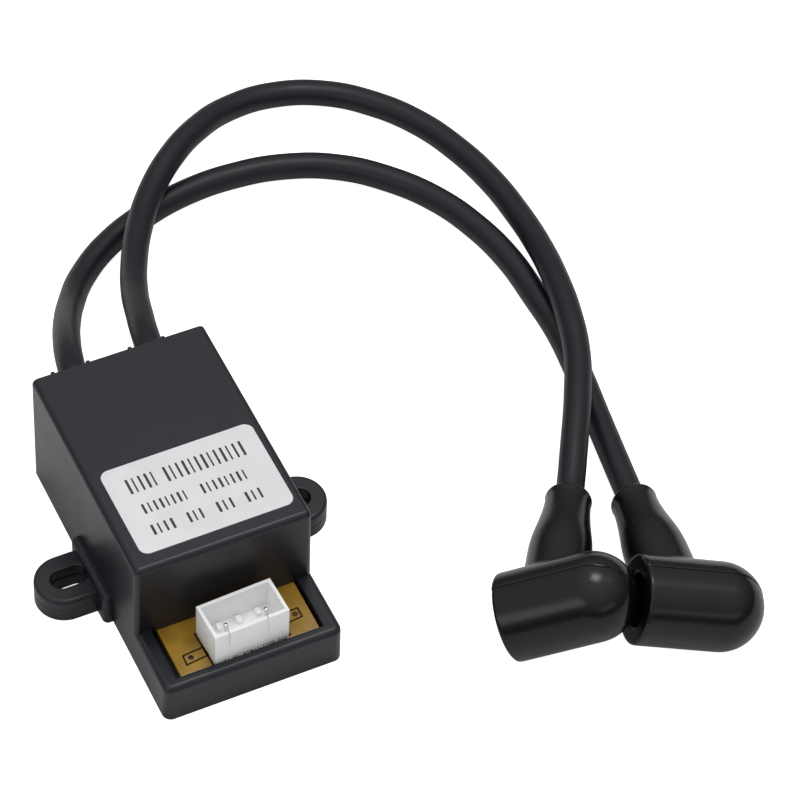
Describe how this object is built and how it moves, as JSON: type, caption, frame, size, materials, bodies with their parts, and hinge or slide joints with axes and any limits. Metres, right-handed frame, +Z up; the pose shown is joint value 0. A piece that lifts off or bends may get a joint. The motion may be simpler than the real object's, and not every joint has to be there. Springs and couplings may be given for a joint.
{
  "type": "ignition transformer",
  "caption": "Potted ignition transformer with a slotted-ear case, a sunk board with a header, and high-voltage leads ending in right-angle rubber boots.",
  "frame": {"origin": "midway between the centres of the two mounting slots, on the base plane", "axes": "+X along the line of the two slots, +Y from the header ledge towards the wall the leads leave from, +Z up from the base"},
  "size_m": [0.1415, 0.1878, 0.0302],
  "materials": {
    "case_plastic": "satin",
    "potting_resin": "glossy",
    "board_laminate": "satin",
    "header_plastic": "satin",
    "tinned_pin": "bright",
    "solder": "bright",
    "flux": "glossy",
    "label_film": "satin",
    "ferrite": "matte",
    "bobbin_plastic": "matte",
    "enamelled_wire": "satin",
    "capacitor_body": "glossy",
    "diode_body": "matte",
    "resistor_body": "satin",
    "lead_silicone": "satin",
    "boot_rubber": "glossy",
    "terminal_metal": "bright"
  },
  "bodies": {
    "root": {"case": "case_plastic", "potting": "potting_resin", "circuit_board": "board_laminate", "header_shell": "header_plastic", "header_pin_left": "tinned_pin", "header_pin_right": "tinned_pin", "solder_left": "solder", "solder_right": "solder", "flux_bead": "flux", "label": "label_film", "core_front": "ferrite", "core_back": "ferrite", "primary_bobbin": "bobbin_plastic", "primary_winding": "enamelled_wire", "secondary_bobbin": "bobbin_plastic", "secondary_winding": "enamelled_wire", "storage_capacitor": "capacitor_body", "rectifier_diode": "diode_body", "bleed_resistor": "resistor_body", "trigger_device": "diode_body", "lead_outer": "lead_silicone", "lead_inner": "lead_silicone", "boot_left": "boot_rubber", "boot_right": "boot_rubber", "terminal_left": "terminal_metal", "terminal_right": "terminal_metal"}
  },
  "joints": []
}
